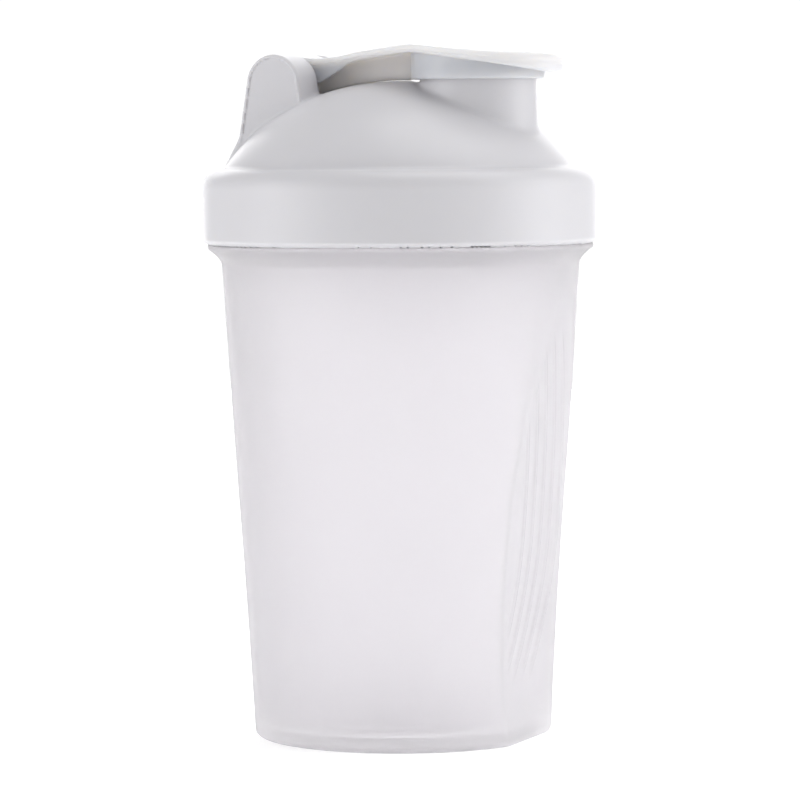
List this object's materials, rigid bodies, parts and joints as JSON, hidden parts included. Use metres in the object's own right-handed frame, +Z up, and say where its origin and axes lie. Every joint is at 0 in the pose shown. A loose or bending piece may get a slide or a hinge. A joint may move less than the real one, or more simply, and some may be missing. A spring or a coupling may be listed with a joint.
{
  "type": "protein shaker bottle",
  "caption": "Translucent shaker cup with scooped ribbed grips, a domed screw lid with a drinking spout, and a hinged flip cap that closes the spout",
  "frame": {"origin": "middle of the foot, on the surface the bottle stands on", "axes": "+Z up through the lid; +X from the hinge towards the spout and the thumb tab; +Y to the left of someone looking along +X"},
  "size_m": [0.098, 0.098, 0.1716],
  "materials": {
    "cup": "frosted translucent polypropylene, semi-matt",
    "lid": "satin white polypropylene",
    "flip_cap": "satin white polypropylene",
    "hinge_pin": "smooth white polypropylene",
    "lid_seal": "milky silicone",
    "mixing_grid": "satin white polypropylene"
  },
  "bodies": {
    "cup": {"cup": "cup"},
    "seal": {"lid_seal": "lid_seal"},
    "lid": {"lid": "lid", "hinge_pin": "hinge_pin", "mixing_grid": "mixing_grid"},
    "flip_cap": {"flip_cap": "flip_cap"}
  },
  "joints": [
    {"name": "lid_lift", "type": "slide", "parent": "cup", "child": "seal", "axis": [0, 0, 1], "range_m": [0, 0.024]},
    {"name": "lid_turn", "type": "hinge", "parent": "seal", "child": "lid", "pos_m": [0, 0, 0.1375], "axis": [0, 0, 1], "range_deg": [0, 1080]},
    {"name": "flip_cap_open", "type": "hinge", "parent": "lid", "child": "flip_cap", "pos_m": [-0.0274, 0, 0.1633], "axis": [0, -1, 0], "range_deg": [0, 190]}
  ],
  "couplings": [
    {"joint": "lid_lift", "follows": "lid_turn", "m_per_rad": 0.0012732}
  ]
}
